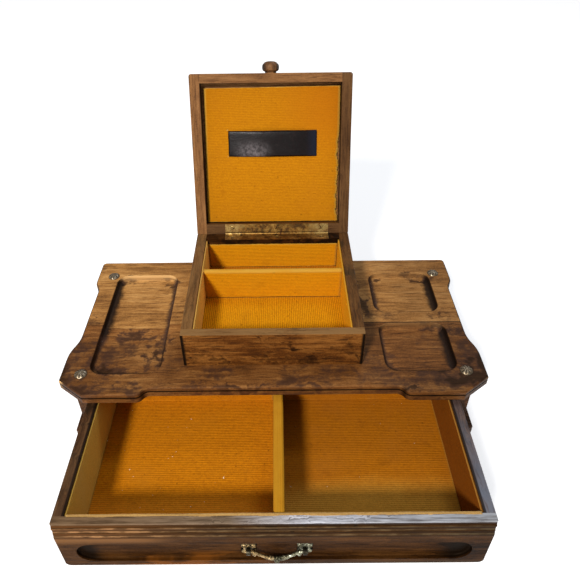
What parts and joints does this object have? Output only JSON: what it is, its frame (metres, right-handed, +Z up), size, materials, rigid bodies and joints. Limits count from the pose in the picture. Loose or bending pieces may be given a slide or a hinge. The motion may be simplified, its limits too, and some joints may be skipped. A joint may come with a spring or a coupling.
{
  "type": "valet box",
  "caption": "Wooden dressing-table valet box: hinged-lid box on a moulded board with routed trays, over a wide lined drawer with a bail pull.",
  "frame": {"origin": "centre of the base board's underside, midway between its sides and between its front corners and its back edge", "axes": "+Z up; +X to the right as seen from the drawer side; +Y to the back, the way the drawer closes"},
  "size_m": [0.354, 0.3593, 0.2559],
  "materials": {
    "board_wood": "worn satin varnish with dark edges",
    "walnut_wood": "gloss varnish, walnut stain",
    "corduroy": "fine-wale golden corduroy",
    "strap_leather": "glossy near-black",
    "aged_brass": "aged, partly tarnished",
    "nail_steel": "worn hammered plate"
  },
  "bodies": {
    "case": {"base_board": "board_wood", "box_back": "walnut_wood", "box_divider": "walnut_wood", "box_divider_cover": "corduroy", "box_floor_lining_back": "corduroy", "box_floor_lining_front": "corduroy", "box_front": "walnut_wood", "box_lining_back": "corduroy", "box_lining_front": "corduroy", "box_lining_left": "corduroy", "box_lining_right": "corduroy", "box_side_left": "walnut_wood", "box_side_right": "walnut_wood", "case_back": "board_wood", "case_side_left": "board_wood", "case_side_right": "board_wood", "corner_studs": "nail_steel", "hinge_leaf_box": "aged_brass", "hinge_pin": "aged_brass", "hinge_screws_box": "aged_brass", "top_board_back": "board_wood", "top_board_front": "board_wood"},
    "lid": {"hinge_leaf_lid": "aged_brass", "hinge_screws_lid": "aged_brass", "lid_knob": "walnut_wood", "lid_lining": "corduroy", "lid_rail_back": "walnut_wood", "lid_rail_front": "walnut_wood", "lid_stile_left": "walnut_wood", "lid_stile_right": "walnut_wood", "lid_strap": "strap_leather", "lid_top": "walnut_wood"},
    "drawer": {"drawer_back": "walnut_wood", "drawer_back_lining_left": "corduroy", "drawer_back_lining_right": "corduroy", "drawer_bottom": "walnut_wood", "drawer_divider": "walnut_wood", "drawer_divider_cover": "corduroy", "drawer_floor_lining_left": "corduroy", "drawer_floor_lining_right": "corduroy", "drawer_front": "walnut_wood", "drawer_front_lining_left": "corduroy", "drawer_front_lining_right": "corduroy", "drawer_side_left": "walnut_wood", "drawer_side_lining_left": "corduroy", "drawer_side_lining_right": "corduroy", "drawer_side_right": "walnut_wood", "pull_nuts": "aged_brass", "pull_post_left": "aged_brass", "pull_post_right": "aged_brass", "pull_rosette_left": "aged_brass", "pull_rosette_right": "aged_brass"},
    "bail": {"pull_bail": "aged_brass"}
  },
  "joints": [
    {"name": "lid_hinge", "type": "hinge", "parent": "case", "child": "lid", "pos_m": [0, 0.0895, 0.10865], "axis": [1, 0, 0], "range_deg": [0, 110]},
    {"name": "drawer_slide", "type": "slide", "parent": "case", "child": "drawer", "axis": [0, 1, 0], "range_m": [-0.03, 0.1175]},
    {"name": "bail_pivot", "type": "hinge", "parent": "drawer", "child": "bail", "pos_m": [0.002, -0.19925, 0.0293], "axis": [-1, 0, 0], "range_deg": [0, 80]}
  ]
}
